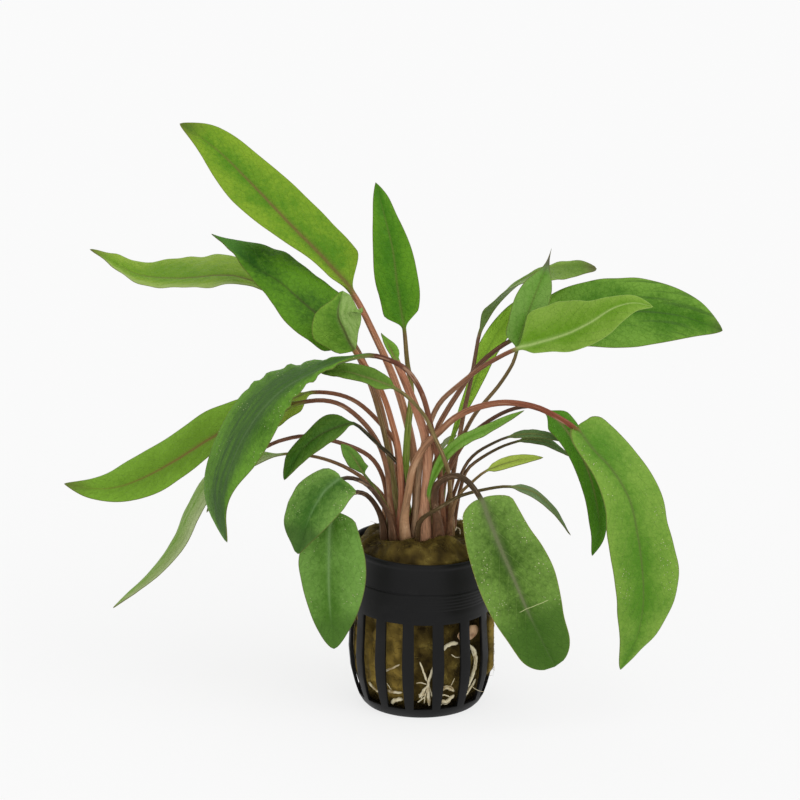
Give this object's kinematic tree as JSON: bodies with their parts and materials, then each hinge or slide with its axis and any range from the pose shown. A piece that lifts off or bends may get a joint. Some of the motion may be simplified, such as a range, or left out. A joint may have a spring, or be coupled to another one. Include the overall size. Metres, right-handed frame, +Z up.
{
  "type": "potted aquarium plant",
  "caption": "Rosette of long-stalked lance-shaped green leaves with arching brown stalks, growing from a rock wool plug in a black slotted net pot, with pale roots behind the slots.",
  "frame": {"origin": "middle of the pot's flat base, on the surface that the pot stands on", "axes": "+Z up along the pot's axis; -Y towards the side that the picture shows; +X to the right in the picture, along the plant's widest spread"},
  "size_m": [0.2315, 0.0972, 0.2],
  "materials": {
    "pot": "black moulded plastic, semi-gloss",
    "rock_wool": "olive-brown mineral fibre, matt and lumpy",
    "rhizome": "pinkish tan rootstock, matt",
    "root": "cream-white living root, satin",
    "leaf_green": "mid to dark green leaf, satin, with a brownish midrib",
    "leaf_bright": "bright yellow-green leaf, satin, with a brownish midrib"
  },
  "bodies": {
    "root": {"pot": "pot", "rock_wool": "rock_wool", "rhizome": "rhizome", "root_thin_left": "root", "root_low_left": "root", "root_left_level": "root", "root_fork_left": "root", "root_fork_right": "root", "root_low_centre": "root", "root_thick_right": "root", "root_arc_right": "root", "root_tangle_upper": "root", "root_tangle_lower": "root", "root_low_right": "root", "leaf_top_left": "leaf_bright", "leaf_left_pale": "leaf_bright", "leaf_mid_left": "leaf_green", "leaf_mid_front": "leaf_green", "leaf_long_dark": "leaf_green", "leaf_left_long": "leaf_bright", "leaf_left_hidden": "leaf_green", "leaf_narrow_left": "leaf_bright", "leaf_small_dark": "leaf_green", "leaf_small_mid": "leaf_green", "leaf_round_front": "leaf_green", "leaf_hanging_left": "leaf_green", "leaf_top_centre": "leaf_green", "leaf_young": "leaf_green", "leaf_narrow_front": "leaf_green", "leaf_right_arch": "leaf_green", "leaf_right_large": "leaf_green", "leaf_right_front": "leaf_bright", "leaf_strap_right": "leaf_bright", "leaf_upright_right": "leaf_green", "leaf_right_big": "leaf_green", "leaf_right_behind": "leaf_green", "leaf_green_strap": "leaf_bright", "leaf_thin_right_upper": "leaf_green", "leaf_thin_right_lower": "leaf_green", "leaf_small_yellow": "leaf_bright", "leaf_narrow_right": "leaf_green", "leaf_front_right": "leaf_green", "leaf_behind_small": "leaf_green", "leaf_left_low": "leaf_green"}
  },
  "joints": []
}
